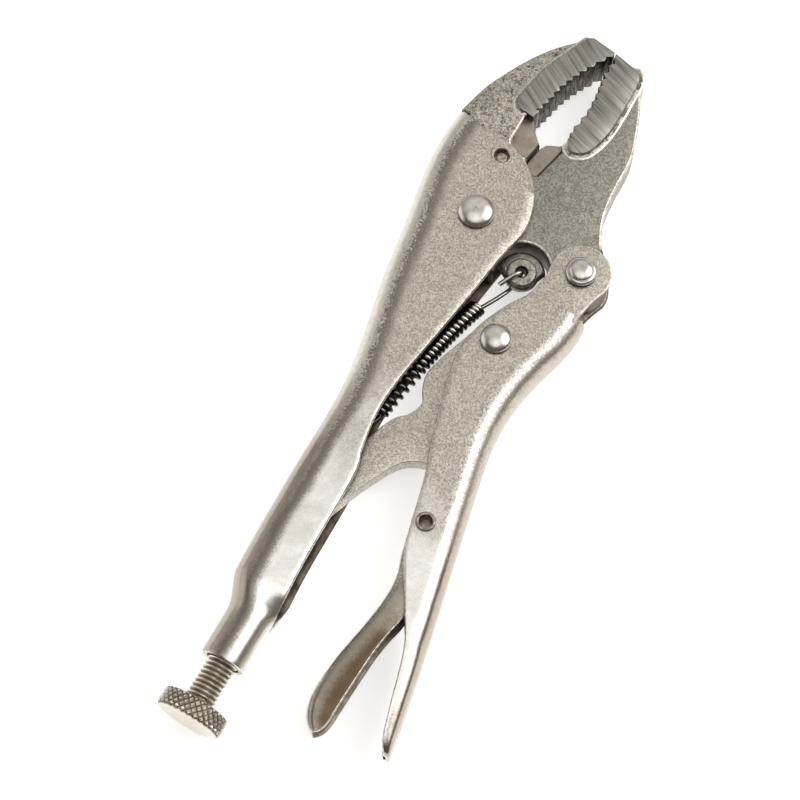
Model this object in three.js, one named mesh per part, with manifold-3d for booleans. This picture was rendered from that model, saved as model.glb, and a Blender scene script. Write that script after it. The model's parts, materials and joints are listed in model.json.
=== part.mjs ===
// Ten inch locking pliers with curved jaws, wire cutter and release lever, lying on one side, locked.
// Millimetres. The origin is on the main rivet's axis at the surface the tool lies on,
// +X points to the jaw tips, +Y to the back of the fixed handle and +Z up.
import * as THREE from 'three';
import { mergeVertices } from 'three/addons/utils/BufferGeometryUtils.js';
import Module from 'manifold-3d';

const wasm = await Module();
wasm.setup();

// Thicknesses, measured each way from the tool's middle plane
const jawHalf = 5.2;
const toothHalf = 6.5;
const cutterHalf = 3;
const lobeHalf = 2.2;
const linkHalf = 3;
const sheet = 2.2;
const leverSheet = 1.3;

// Clearances
const plateGap = 0.4;
const pinGap = 0.3;
const headGap = 0.2;
const seatGap = 0.3;
const jawGap = 0.4;
const cornerRelief = 1.3;
const threadGap = 0.5;
const hookGap = 0.3;
const footDrift = 5.1;

// Pivots, from the main rivet's axis
const handlePivot = [-2.3, -38.8];
const linkPivot = [-35.5, -26.5];
const linkFoot = [-111.2, -3.9];
const leverPivot = [-98.2, -36.6];
const springHole = [-8.9, -21.5];
const tangPin = [22, 2.6];

// Bends, eyes and teeth
const handleCorner = 4.6;
const leverCorner = 2.4;
const tailTaper = 1.3;
const tailCorner = 4;
const earRadius = 9.8;
const jawEarRadius = 9;
const springLobeRadius = 5;
const linkEyeRadius = 8.5;
const linkHornRadius = 4.8;
const toothDepth = 1.3;
const toothCount = 11;
const tabThickness = 2;
const tabWidth = 5;
const tabWindow = 7;

// Round sizes
const hubRadius = 14;
const mainShank = 4.6;
const mainHeadLip = 1.2;
const rivetShank = 4;
const rivetHeadLip = 1;
const headHeight = 2.8;
const headRim = 0.9;
const footFlat = 1.6;
const tangPinRadius = 2;
const tangPinRecess = 0.3;
const leverPinShank = 2.7;
const leverPinLip = 0.4;
const leverPinBore = 2.05;
const leverPinFlange = 0.5;
const springHoleRadius = 2.4;
const springPocketRadius = 9;
const springWire = 0.6;
const coilRadius = 3.1;
const threadRadius = 4.8;
const threadDepth = 0.8;
const neckWall = 1.95;
const footRadius = 4.5;

// The adjusting screw
const screwAxis = -4.7;
const neckEnd = -163.8;
const exposedThread = 14.2;
const knobLength = 6;
const knobBevel = 0.9;
const screwShoulder = 1;
const tipTaper = 2;
const tipRadius = 3.4;

// Worked out from the sizes above
const channelHalf = Math.max(jawHalf, threadRadius) + plateGap;
const handleHalf = channelHalf + sheet;
const bodyHalf = channelHalf - plateGap;
const leverHalf = bodyHalf;
const restHalf = handleHalf + headGap + headHeight;
const knobRadius = restHalf;
const neckBore = threadRadius + threadGap;
const neckRadius = neckBore + neckWall;
const knobFront = neckEnd - exposedThread;
const screwTip = linkFoot[0] - footRadius - footDrift;
const tabPlace = -78;

// ---- outlines ----

// Points of a smooth curve through the given points
function through(points, steps = 4) {
  const curve = new THREE.SplineCurve(points.map(([x, y]) => new THREE.Vector2(x, y)));
  return curve.getPoints((points.length - 1) * steps).map((p) => [p.x, p.y]);
}

// Points of an arc, angles in degrees, counterclockwise when the second is larger
function arc([cx, cy], radius, from, to, steps = 12) {
  return Array.from({ length: steps + 1 }, (_, i) => {
    const angle = THREE.MathUtils.degToRad(from + ((to - from) * i) / steps);
    return [cx + radius * Math.cos(angle), cy + radius * Math.sin(angle)];
  });
}

// A smooth height over x, through points listed from the front of the tool to its rear
function heightOver(points) {
  const fine = through(points, 8);
  return (x) => {
    const next = Math.max(fine.findIndex((p) => p[0] <= x), 1);
    const [[x0, y0], [x1, y1]] = [fine[next - 1], fine[next]];
    return y0 + (y1 - y0) * THREE.MathUtils.clamp((x - x0) / (x1 - x0), 0, 1);
  };
}

// Saw teeth along a curve: crests on the curve, and roots off it by the depth, up or down
function toothRow(points, count, depth) {
  const curve = new THREE.SplineCurve(points.map(([x, y]) => new THREE.Vector2(x, y)));
  const row = [];
  for (let i = 0; i <= count * 2; i++) {
    const p = curve.getPoint(i / (count * 2));
    row.push([p.x, p.y + (i % 2) * depth]);
  }
  return row;
}

// ---- solids ----

// Cutters run this far past the face they open
const past = 1;

// The closed body of a three.js geometry
function solid(geometry) {
  geometry.deleteAttribute('normal');
  geometry.deleteAttribute('uv');
  const merged = mergeVertices(geometry, 1e-4);
  return new wasm.Manifold(new wasm.Mesh({
    numProp: 3,
    vertProperties: new Float32Array(merged.attributes.position.array),
    triVerts: new Uint32Array(merged.index.array),
  }));
}

// A flat plate of the given outline, from one height to another
function plate(points, bottom, top) {
  const shape = new THREE.Shape(points.map(([x, y]) => new THREE.Vector2(x, y)));
  const geometry = new THREE.ExtrudeGeometry(shape, { depth: top - bottom, bevelEnabled: false });
  return solid(geometry.translate(0, 0, bottom));
}

// A round bar standing on the middle plane
function bar([x, y], radius, half, sides = 32) {
  const geometry = new THREE.CylinderGeometry(radius, radius, half * 2, sides);
  return solid(geometry.rotateX(Math.PI / 2).translate(x, y, 0));
}

// A round bar between two points
function rod(from, to, radius, sides = 10) {
  const start = new THREE.Vector3(...from);
  const along = new THREE.Vector3(...to).sub(start);
  const geometry = new THREE.CylinderGeometry(radius, radius, along.length(), sides);
  const upright = new THREE.Vector3(0, 1, 0);
  geometry.applyQuaternion(new THREE.Quaternion().setFromUnitVectors(upright, along.clone().normalize()));
  const centre = start.addScaledVector(along, 0.5);
  return solid(geometry.translate(centre.x, centre.y, centre.z));
}

// A box from its lowest to its highest corner
function block([x0, y0, z0], [x1, y1, z1]) {
  const geometry = new THREE.BoxGeometry(x1 - x0, y1 - y0, z1 - z0);
  return solid(geometry.translate((x0 + x1) / 2, (y0 + y1) / 2, (z0 + z1) / 2));
}

// A turned solid on an axis that stands on the middle plane: profile of [radius, height]
function turned([x, y], profile, sides = 32) {
  const geometry = new THREE.LatheGeometry(profile.map(([r, z]) => new THREE.Vector2(r, z)), sides);
  return solid(geometry.rotateX(Math.PI / 2).translate(x, y, 0));
}

// A closed bar of rounded rectangle sections along x, each [x, low, high, half width, corner radius]
function loft(sections, arcSteps = 4) {
  const rings = sections.map(([x, low, high, half, corner]) => {
    const ring = [];
    const r = Math.min(corner, half - 0.01, (high - low) / 2 - 0.01);
    const corners = [[high - r, half - r], [low + r, half - r], [low + r, r - half], [high - r, r - half]];
    corners.forEach(([y, z], quarter) => {
      for (let k = 0; k <= arcSteps; k++) {
        const angle = (Math.PI / 2) * (quarter + k / arcSteps);
        ring.push([x, y + r * Math.cos(angle), z + r * Math.sin(angle)]);
      }
    });
    return ring;
  });
  return ringsToSolid(rings);
}

// The closed body through rings of points, as many in each, with a flat face at both ends
function ringsToSolid(rings) {
  const n = rings[0].length;
  const index = [];
  for (let i = 0; i + 1 < rings.length; i++) {
    for (let j = 0; j < n; j++) {
      const a = i * n + j;
      const b = i * n + ((j + 1) % n);
      index.push(a, a + n, b, b, a + n, b + n);
    }
  }
  const last = (rings.length - 1) * n;
  for (let j = 1; j + 1 < n; j++) {
    index.push(0, j, j + 1);
    index.push(last, last + j + 1, last + j);
  }
  const geometry = new THREE.BufferGeometry();
  geometry.setAttribute('position', new THREE.Float32BufferAttribute(rings.flat(2), 3));
  geometry.setIndex(index);
  return solid(geometry);
}

// ---- the fixed handle ----

const handleBack = heightOver([
  [32, 23.4], [22, 23.9], [8, 22.9], [-12, 19.2], [-32, 15.9], [-60, 9.9], [-78, 8], [-104, 7.8],
  [-138, 6.5], [-150, 4], [-156, screwAxis + neckRadius], [neckEnd, screwAxis + neckRadius],
]);
const handleFloor = heightOver([
  [32, -24], [-120, -19], [-138, -16], [-147, -13.4], [-152, screwAxis - neckRadius],
  [neckEnd, screwAxis - neckRadius],
]);
const handleLips = [
  [27.3, 3], [23.5, -5.6], [17.5, -11.6], [10, -15.1], [1, -16.5], [-10, -14.4], [-36, -10.9], [-62, -7],
  [-75, -6.6], [-87, -8.4], [-96, -10.6], [-125, -11.2], [-140, -12.2], [-147, -13.3],
];
const handleStations = [
  31.5, 24, 16, 8, 0, -8, -16, -24, -32, -42, -52, -62, -72, -82, -94, -106, -118, -130, -138, -142, -146,
  -149, -152, -156, -160, neckEnd,
];

// How far a station is from the channel (0) to the round neck (1)
const neckShare = (x) => THREE.MathUtils.smoothstep(-x, 138, 154);

function fixedHandle() {
  const outside = handleStations.map((x) => {
    const half = THREE.MathUtils.lerp(handleHalf, neckRadius, neckShare(x));
    const corner = THREE.MathUtils.lerp(handleCorner, neckRadius, neckShare(x));
    return [x, handleFloor(x), handleBack(x), half, corner];
  });
  const inside = [36, ...handleStations.slice(1, -1), neckEnd - past].map((x) => {
    const share = neckShare(x);
    const low = THREE.MathUtils.lerp(handleFloor(x) - handleCorner, screwAxis - neckBore, share);
    const high = THREE.MathUtils.lerp(handleBack(x) - sheet, screwAxis + neckBore, share);
    const half = THREE.MathUtils.lerp(channelHalf, neckBore, share);
    return [x, low, high, half, THREE.MathUtils.lerp(handleCorner - sheet, neckBore, share)];
  });
  const side = [
    [29.6, 26], [29.9, 17], [27.8, 10], ...through(handleLips), [-148.6, -17], [neckEnd - past, -17],
    [neckEnd - past, 26],
  ];
  const tabFace = tabPlace - tabThickness / 2;
  const tabRoot = handleBack(tabPlace) - sheet / 2;
  const tab = block([tabFace, -3.5, -tabWidth / 2], [tabFace + tabThickness, tabRoot, tabWidth / 2]);
  const window = block([tabFace - tabWindow, 0, -tabWidth / 2], [tabFace, 2 * tabRoot, tabWidth / 2]);
  return loft(outside).subtract(loft(inside))
    .intersect(plate(side, -handleHalf - past, handleHalf + past))
    .subtract(window)
    .add(tab)
    .subtract(bar([0, 0], mainShank + pinGap, handleHalf + past))
    .subtract(bar(tangPin, tangPinRadius + pinGap, handleHalf + past, 20));
}

// ---- the jaws ----

const fixedBite = [[72.6, -11.3], [65.7, -7.4], [60, -4.6], [54, -2.4], [47.6, -1.1], [42.3, 0.3]];
const movableBite = [
  [72, -11.9], [66, -11.6], [61, -12.3], [56, -13], [50, -13.2], [43, -12.2], [38.6, -12.6],
];

function fixedJaw() {
  const back = heightOver([[76, -2.7], [74.6, -0.6], [69.3, 5.2], [63.7, 9.6], [56.8, 13.8], [49.4, 17.4],
    [42.3, 20.2], [31.5, 22.8]]);
  const tangTop = [31.9, 22, 14, 6].map((x) => [x, handleBack(x) - sheet - seatGap - cornerRelief]);
  const rough = [
    ...[75.5, 74, 71, 67, 62, 56, 50, 44, 38, 31.9].map((x) => [x, back(x)]),
    ...tangTop, ...arc([0, 0], hubRadius + jawGap, 76, -17, 14),
    [26.2, -4.4], [27.4, 1.6], [29.7, 3.2], [38.7, 3.2], [42, 3.5], [56, 1], [70, -6], [74.4, -10],
  ];
  const ground = [
    [75.9, -2.7], [74.9, -0.9], ...through([[72, 0.2], [64.8, 3.2], [56.5, 6.2], [49, 7.6], [44.2, 8.3]]),
    ...arc([44.2, 4.6], 3.7, 100, 190, 5), [39.9, 0.8],
    ...toothRow(fixedBite, toothCount, toothDepth).reverse(), [74.3, -11.2],
  ];
  const cutter = [
    [20, 3.4], [20, -4.4], [26.2, -4.4], [33.4, -5.4], [36.7, -2.2], [40.2, 0.4], [44, 4], [30, 5],
  ];
  return plate(rough, -bodyHalf, bodyHalf)
    .add(plate(ground, -toothHalf, toothHalf))
    .add(plate(cutter, -cutterHalf, cutterHalf))
    .subtract(bar(tangPin, tangPinRadius + pinGap, bodyHalf + past, 20));
}

function movableJaw() {
  const rough = [
    [71.7, -20.4], [72.4, -15], [66, -16], [50, -17], [40, -16], [38.6, -14], [22.5, -10.4], [21, -5],
    ...arc([0, 0], hubRadius, -20, 180, 24), [-14.4, -10],
    ...arc(springHole, springLobeRadius, 180, 262, 6), [-5.2, -29.6],
    ...arc(handlePivot, jawEarRadius, 130, 300, 14), [7.6, -43], [12, -39.2],
    ...through([[20, -35.8], [30, -34.4], [43, -33.8], [56, -29.7], [64, -26.2], [69, -23.2]]),
  ];
  const ground = [
    [71.9, -20.4], [74.2, -11.7], ...toothRow(movableBite, toothCount, -toothDepth),
    ...through([[34.9, -16.6], [36.8, -20], [42, -22.2], [49, -23.3], [60, -23.3], [69, -22.8]]),
  ];
  const cutter = [
    [13.5, -4.9], [26, -4.9], [32.8, -6.1], [34.8, -7.2], [36.4, -10.8], [40, -15], [20, -13],
  ];
  const pocket = (from, to) => plate(arc(springHole, springPocketRadius, 0, 345, 23), from, to);
  return plate(rough, -bodyHalf, bodyHalf)
    .add(plate(ground, -toothHalf, toothHalf))
    .add(plate(cutter, -cutterHalf, cutterHalf))
    .subtract(pocket(lobeHalf, bodyHalf + past))
    .subtract(pocket(-bodyHalf - past, -lobeHalf))
    .subtract(bar(springHole, springHoleRadius, bodyHalf + past, 20))
    .subtract(bar([0, 0], mainShank + pinGap, bodyHalf + past))
    .subtract(bar(handlePivot, rivetShank + pinGap, bodyHalf + past));
}

// ---- the lower handle, its link and its release lever ----

const lowerBack = heightOver([
  [-14, -47.6], [-20, -47.7], [-28, -46.5], [-37, -44], [-48, -41.8], [-58, -41.3], [-68, -42.2],
  [-81, -44.8], [-104, -49.8], [-130, -55.5], [-150, -59.4], [-165, -61.9],
]);
const lowerLips = [
  [-16.8, -27.7], [-22, -24.4], [-30, -20.7], [-36, -18.9], [-42.5, -17.9], [-51, -18.9], [-72, -24.5],
  [-86, -29.2], [-103, -33.4], [-110, -35.8], [-124, -43.9], [-135, -49.9], [-152, -54.8], [-161, -57.5],
];

function lowerHandle() {
  const stations = [-15, -20, -26, -32, -38, -46, -56, -66, -78, -92, -106, -120, -134, -148, -157, -165];
  const half = (x) => handleHalf - tailTaper * THREE.MathUtils.smoothstep(-x, 148, 165);
  const narrowing = (x) => THREE.MathUtils.smoothstep(-x, 134, 148);
  const corner = (x) => THREE.MathUtils.lerp(handleCorner, tailCorner, narrowing(x));
  const outside = [
    ...[12, -14.6].map((x) => [x, -54, -12, handleHalf, 0]),
    ...stations.map((x) => [x, lowerBack(x), -12, half(x), corner(x)]),
  ];
  const inside = [
    ...[13, -14.5].map((x) => [x, -56, -8, channelHalf, 0]),
    ...[...stations.slice(0, -1), -168].map(
      (x) => [x, lowerBack(x) + sheet, -8, half(x) - sheet, handleCorner - sheet]),
  ];
  const side = [
    ...arc(handlePivot, earRadius, -100, 100, 16), [-8, -29.6], ...through(lowerLips), [-163.6, -59.4],
    [-164.8, -61],
    [-164, -64], [-15.4, -64], [-15.4, -45.6], [-14.6, -45.4], [-10.5, -46.2],
  ];
  return loft(outside).subtract(loft(inside))
    .intersect(plate(side, -handleHalf - past, handleHalf + past))
    .subtract(bar(handlePivot, rivetShank + pinGap, handleHalf + past))
    .subtract(bar(linkPivot, rivetShank + pinGap, handleHalf + past))
    .subtract(bar(leverPivot, leverPinShank + pinGap, handleHalf + past, 24));
}

function toggleLink() {
  const outline = [
    ...arc(linkPivot, linkEyeRadius, -90, 60, 12),
    ...through([[-39, -17.9], [-47, -15.1], [-54, -13], [-59, -13.6], [-63.5, -16], [-68.5, -14.4],
      [-73, -10.5], [-84, -6.4], [-98, -2.5]], 3),
    ...arc(linkFoot, footRadius, 80, 280, 12),
    ...through([[-104.5, -10.4], [-97.5, -13], [-91.4, -15.8], [-86.5, -18.3], [-83, -21.2],
      [-80.8, -25]], 3),
    ...arc([-75.6, -26.4], linkHornRadius, 180, 270, 5), [-56, -32.4],
  ];
  return plate(outline, -linkHalf, linkHalf).subtract(bar(linkPivot, rivetShank + pinGap, linkHalf + past));
}

function releaseLever() {
  const back = heightOver([
    [-74, -36.4], [-80, -35.2], [-88, -33], [-98, -32.3], [-108, -34.2], [-116, -36.6], [-124, -36.9],
    [-133, -35.8], [-147, -33.4], [-158, -32.7], [-164, -34.4], [-169.5, -39],
  ]);
  const stations = [-74, -80, -88, -98, -108, -116, -124, -133, -140, -147, -154, -160, -164, -167, -169.5];
  const outside = stations.map((x) => [x, -50, back(x), leverHalf, leverCorner]);
  const inside = [-73, ...stations.slice(1, -1), -171].map(
    (x) => [x, -52, back(x) - leverSheet, leverHalf - leverSheet, leverCorner - leverSheet]);
  const side = [
    [-73, -33], [-73, -39.6],
    ...through([[-84, -40.2], [-98, -41.8], [-110, -43.6], [-120, -45], [-127, -45.2], [-133, -43.9],
      [-141, -42.8], [-158, -41.8]], 3),
    [-168.6, -41.4], [-171, -38], [-171, -28], [-73, -28],
  ];
  return loft(outside).subtract(loft(inside))
    .intersect(plate(side, -leverHalf - past, leverHalf + past))
    .subtract(bar(leverPivot, leverPinShank + pinGap, leverHalf + past, 24));
}

// ---- rivets and pins ----

// A solid rivet with a domed head on each side, each ending in a small flat
function rivet(place, shank, head) {
  const under = handleHalf + headGap;
  const dome = arc([0, 0], 1, 0, 90, 6).map(([across, up]) => [
    footFlat + (head - footFlat) * across, under + headRim + (headHeight - headRim) * up,
  ]);
  const upper = [[shank, under], [head, under], ...dome];
  const lower = upper.map(([r, z]) => [r, -z]).reverse();
  return turned(place, [[0, -restHalf], ...lower, ...upper, [0, restHalf]]);
}

function jawTangPin() {
  return bar(tangPin, tangPinRadius, handleHalf - tangPinRecess, 20);
}

// A tube with its ends rolled over the lower handle's walls
function leverPin() {
  const under = handleHalf + headGap;
  const top = under + leverPinFlange;
  const head = leverPinShank + leverPinLip;
  const wall = [
    [leverPinBore, -top], [head, -top], [head, -under], [leverPinShank, -under],
    [leverPinShank, under], [head, under], [head, top], [leverPinBore, top], [leverPinBore, -top],
  ];
  return turned(leverPivot, wall, 24);
}

// ---- spring and screw ----

function tensionSpring() {
  const front = [-25.4, -14.9, 0];
  const rear = [-72, -5.5, 0];
  const hook = lobeHalf + hookGap + springWire;
  const hole = [springHole[0] - springWire, springHole[1]];
  const top = [...hole, hook];
  return rod(front, rear, coilRadius, 16)
    .add(rod([-26, -15, 2.4], top, springWire))
    .add(rod(top, [...hole, -hook], springWire))
    .add(rod([-71, -5.6, 1], [tabPlace + tabThickness / 2 + hookGap + springWire, -4.6, 1], springWire));
}

// A solid of revolution along the screw's axis: profile of [radius, x]
function screwTurned(profile, sides) {
  const geometry = new THREE.LatheGeometry(profile.map(([r, x]) => new THREE.Vector2(r, x)), sides);
  return solid(geometry.rotateZ(-Math.PI / 2).translate(0, screwAxis, 0));
}

function adjustingScrew() {
  const root = threadRadius - threadDepth;
  const rear = knobFront + seatGap;
  return screwTurned([
    [0, rear], [root, rear], [root, rear + screwShoulder],
    [threadRadius, rear + screwShoulder + threadDepth],
    [threadRadius, screwTip - tipTaper], [tipRadius, screwTip], [0, screwTip],
  ], 32);
}

function screwKnob() {
  const rear = knobFront - knobLength;
  const face = knobRadius - knobBevel;
  return screwTurned([
    [0, rear], [face, rear], [knobRadius, rear + knobBevel], [knobRadius, knobFront - knobBevel],
    [face, knobFront], [0, knobFront],
  ], 48);
}

// ---- the assembly ----

const nickel = { color: 0xbeb7aa, roughness: 0.38, metalness: 0.9 };
const finishes = {
  nickel,
  polished: { color: 0xd4d0c6, roughness: 0.18, metalness: 1 },
  forged: { color: 0xa9a293, roughness: 0.5, metalness: 0.85 },
  wire: { color: 0x1d1c1a, roughness: 0.35, metalness: 0.8 },
};

// A named mesh of a closed body in one of the finishes
function piece(name, made, finish) {
  const mesh = made.getMesh();
  const geometry = new THREE.BufferGeometry();
  geometry.setAttribute('position', new THREE.BufferAttribute(mesh.vertProperties, 3));
  geometry.setIndex(new THREE.BufferAttribute(mesh.triVerts, 1));
  const node = new THREE.Mesh(geometry, new THREE.MeshStandardMaterial(finishes[finish]));
  node.name = name;
  return node;
}

const pliers = new THREE.Group();
pliers.position.z = restHalf;
pliers.add(
  piece('fixed_handle', fixedHandle(), 'nickel'),
  piece('fixed_jaw', fixedJaw(), 'forged'),
  piece('jaw_tang_pin', jawTangPin(), 'forged'),
  piece('movable_jaw', movableJaw(), 'forged'),
  piece('main_rivet', rivet([0, 0], mainShank, mainShank + mainHeadLip), 'polished'),
  piece('lower_handle', lowerHandle(), 'nickel'),
  piece('handle_rivet', rivet(handlePivot, rivetShank, rivetShank + rivetHeadLip), 'polished'),
  piece('toggle_link', toggleLink(), 'forged'),
  piece('link_rivet', rivet(linkPivot, rivetShank, rivetShank + rivetHeadLip), 'polished'),
  piece('release_lever', releaseLever(), 'nickel'),
  piece('lever_pin', leverPin(), 'forged'),
  piece('tension_spring', tensionSpring(), 'wire'),
  piece('adjusting_screw', adjustingScrew(), 'nickel'),
  piece('screw_knob', screwKnob(), 'nickel'),
);

export default pliers;
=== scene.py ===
"""Ten inch locking pliers: finished meshes, finishes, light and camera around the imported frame."""
import json
import math

import bmesh
import bpy
from mathutils import Matrix, Vector


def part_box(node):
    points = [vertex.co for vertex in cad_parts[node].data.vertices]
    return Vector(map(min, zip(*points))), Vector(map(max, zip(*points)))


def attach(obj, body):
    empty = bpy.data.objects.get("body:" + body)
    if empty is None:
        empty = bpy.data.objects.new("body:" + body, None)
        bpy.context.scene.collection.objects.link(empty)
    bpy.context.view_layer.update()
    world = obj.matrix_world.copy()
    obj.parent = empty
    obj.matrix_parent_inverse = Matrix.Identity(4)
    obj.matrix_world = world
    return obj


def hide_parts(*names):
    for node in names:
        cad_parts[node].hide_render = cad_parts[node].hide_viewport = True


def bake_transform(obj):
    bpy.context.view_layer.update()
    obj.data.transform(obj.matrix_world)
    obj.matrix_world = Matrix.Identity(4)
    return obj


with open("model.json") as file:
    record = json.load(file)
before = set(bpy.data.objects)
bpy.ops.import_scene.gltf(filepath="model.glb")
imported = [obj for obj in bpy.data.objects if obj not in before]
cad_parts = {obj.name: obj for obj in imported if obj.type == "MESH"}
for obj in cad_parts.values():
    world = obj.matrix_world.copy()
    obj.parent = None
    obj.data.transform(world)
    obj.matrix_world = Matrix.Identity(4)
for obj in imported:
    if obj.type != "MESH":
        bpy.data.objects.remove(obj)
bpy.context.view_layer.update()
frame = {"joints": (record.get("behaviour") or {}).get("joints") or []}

MM = 0.001

# ---- places and sizes from the frame, in millimetres, heights from the tool's middle plane ----

PIVOTS = {joint["name"]: Vector(joint["pos_m"]) / MM for joint in frame["joints"] if "pos_m" in joint}
MIDDLE = PIVOTS["jaw_pivot"].z
JAW_PIVOT = (0.0, 0.0)
HANDLE_PIVOT = tuple(PIVOTS["handle_pivot"][:2])
LINK_PIVOT = tuple(PIVOTS["link_pivot"][:2])
LEVER_PIVOT = tuple(PIVOTS["lever_pivot"][:2])
SCREW_AXIS = PIVOTS["screw_turn"].y


def size(node, axis):
    """How far a node reaches along one axis, in millimetres."""
    low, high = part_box(node)
    return (high[axis] - low[axis]) / MM


def edge(node, axis, end):
    """A node's lowest (0) or highest (1) place along one axis, in millimetres."""
    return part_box(node)[end][axis] / MM


HANDLE_HALF = size("fixed_handle", 2) / 2
TOOTH_HALF = size("fixed_jaw", 2) / 2
JAW_FRONT = edge("fixed_jaw", 0, 1) - 0.05
LINK_HALF = size("toggle_link", 2) / 2
LEVER_HALF = size("release_lever", 2) / 2
HEAD_TOP = MIDDLE       # the heads stand on the floor, so they reach this far either way
KNOB_RADIUS = size("screw_knob", 1) / 2
KNOB_REAR = edge("screw_knob", 0, 0)
KNOB_FRONT = edge("screw_knob", 0, 1)
SCREW_REAR = edge("adjusting_screw", 0, 0)
SCREW_TIP = edge("adjusting_screw", 0, 1)
NECK_END = edge("fixed_handle", 0, 0)
MAIN_HEAD = size("main_rivet", 0) / 2
RIVET_HEAD = size("handle_rivet", 0) / 2
LEVER_PIN_HEAD = size("lever_pin", 0) / 2
LEVER_PIN_HALF = size("lever_pin", 2) / 2
THREAD_RADIUS = size("adjusting_screw", 1) / 2

SHEET = 2.2
HANDLE_CORNER = 7.4
LOWER_CORNER = 6.4
LEVER_SHEET = 1.3
LEVER_CORNER = 2.6
BODY_HALF = HANDLE_HALF - SHEET - 0.4
CUTTER_HALF = 3.0
LOBE_HALF = 2.2
NECK_RADIUS = THREAD_RADIUS + 2.45
HUB_RADIUS = 14.0
EAR_RADIUS = 9.8
EAR_STEP = 0.5
CREASE = -15.8
JAW_EAR_RADIUS = 9.0
TANG_PIN = (22.0, 2.6)
TANG_HOLE = 2.5
LEVER_HOLE = 2.75
LEVER_BORE = 2.05
SPRING_HOLE = (-8.9, -21.5)
SPRING_HOLE_RADIUS = 1.55
BOSS_RADIUS = 4.9
LOBE_RADIUS = 5.6
WEB_RADIUS = 7.6
POCKET_RADIUS = 9.0
LEDGE_RISE = 0.4
LINK_FOOT = (-111.2, -3.9)
LINK_FOOT_RADIUS = 4.5
LINK_EYE_RADIUS = 8.5
LINK_EYE_HOLE = 4.3
LINK_HORN_RADIUS = 4.8
UNDER_HEAD = HANDLE_HALF + 0.2
THREAD_PITCH = 1.5
THREAD_DEPTH = 0.85
TAB_PLACE = -78.0
TAB_HALF = 2.5
TOOTH_COUNT = 11
TOOTH_DEPTH = 1.3
EASE = 0.45             # how far a pressed sheet's edges are eased
LIP_STEPS = 6           # the points of an eased edge
MERGE = 1e-4            # points nearer than this become one
FROM_BACK = "from_back"  # each pressed sheet's own distance from its back, for its finish


# ---- curves ----

def through(points, steps=6):
    """A smooth curve through the points."""
    curve = []
    last = len(points) - 1
    for i in range(last):
        p0, p1 = points[max(i - 1, 0)], points[i]
        p2, p3 = points[i + 1], points[min(i + 2, last)]
        for k in range(steps):
            t = k / steps
            curve.append(tuple(
                b + 0.5 * t * ((c - a) + t * (2 * a - 5 * b + 4 * c - d + t * (3 * (b - c) + d - a)))
                for a, b, c, d in zip(p0, p1, p2, p3)
            ))
    return curve + [tuple(points[-1])]


def height_over(points):
    """A height over x, through points listed from the front of the tool to its rear."""
    fine = through(points, 12)

    def height(x):
        for (x0, y0), (x1, y1) in zip(fine, fine[1:]):
            if x >= x1:
                share = min(max((x - x0) / (x1 - x0), 0), 1)
                return y0 + (y1 - y0) * share
        return fine[-1][1]

    return height


def arc(centre, radius, start, end, steps=16):
    """Points along an arc, from one angle to another in degrees."""
    angles = [math.radians(start + (end - start) * i / steps) for i in range(steps + 1)]
    return [(centre[0] + radius * math.cos(a), centre[1] + radius * math.sin(a)) for a in angles]


def circle(centre, radius, steps=48):
    return arc(centre, radius, 0, 360, steps)[:-1]


def smooth_step(low, high, x):
    t = min(max((x - low) / (high - low), 0), 1)
    return t * t * (3 - 2 * t)


def mix(a, b, share):
    return a + (b - a) * share


def tooth_row(points, side):
    """Saw teeth along a curve, each with a flattened crest."""
    fine = through(points, 24)
    row = []
    for i in range(TOOTH_COUNT * 4 + 1):
        x, y = fine[round(i / (TOOTH_COUNT * 4) * (len(fine) - 1))]
        drop = (0, 0.42, 1, 0.42)[i % 4]
        row.append((x, y + TOOTH_DEPTH * side * drop))
    return row


# ---- meshes ----

def finish(name, mesh, body, finishes, nodes=(), sharp=38):
    """Makes the object of a mesh that is still in millimetres and in the middle plane's heights.
    finishes is one material, or one each for the faces marked 0, 1 and 2."""
    for vertex in mesh.vertices:
        x, y, z = vertex.co
        vertex.co = (x * MM, y * MM, (z + MIDDLE) * MM)
    mesh.polygons.foreach_set("use_smooth", [True] * len(mesh.polygons))
    mesh.set_sharp_from_angle(angle=math.radians(sharp))
    marks = [polygon.material_index for polygon in mesh.polygons]
    mesh.materials.clear()
    for material in finishes if isinstance(finishes, tuple) else (finishes,):
        mesh.materials.append(material)
    mesh.polygons.foreach_set("material_index", [min(mark, len(mesh.materials) - 1) for mark in marks])
    piece = bpy.data.objects.new(name, mesh)
    bpy.context.scene.collection.objects.link(piece)
    if body:
        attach(piece, body)
    if nodes:
        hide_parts(*nodes)
    return piece


def mesh_of(name, points, faces):
    """A mesh of points and faces with doubled points merged."""
    work = bmesh.new()
    verts = [work.verts.new(p) for p in points]
    for face in faces:
        corners = [verts[i] for i in face]
        if len(set(corners)) > 2:
            work.faces.new(corners)
    bmesh.ops.remove_doubles(work, verts=work.verts, dist=MERGE)
    bmesh.ops.dissolve_degenerate(work, edges=work.edges, dist=MERGE)
    mesh = bpy.data.meshes.new(name)
    work.to_mesh(mesh)
    work.free()
    return mesh


def turned_out(mesh):
    """The mesh with its faces turned out."""
    work = bmesh.new()
    work.from_mesh(mesh)
    bmesh.ops.recalc_face_normals(work, faces=work.faces)
    work.to_mesh(mesh)
    work.free()
    return mesh


def modified(mesh, *modifiers):
    """The mesh with modifiers applied, each given as its type and settings."""
    holder = bpy.data.objects.new(mesh.name, mesh)
    bpy.context.scene.collection.objects.link(holder)
    for kind, settings in modifiers:
        modifier = holder.modifiers.new(kind, kind)
        for key, value in settings.items():
            setattr(modifier, key, value)
    evaluated = holder.evaluated_get(bpy.context.evaluated_depsgraph_get())
    made = bpy.data.meshes.new_from_object(evaluated)
    bpy.data.objects.remove(holder)
    return made


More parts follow.
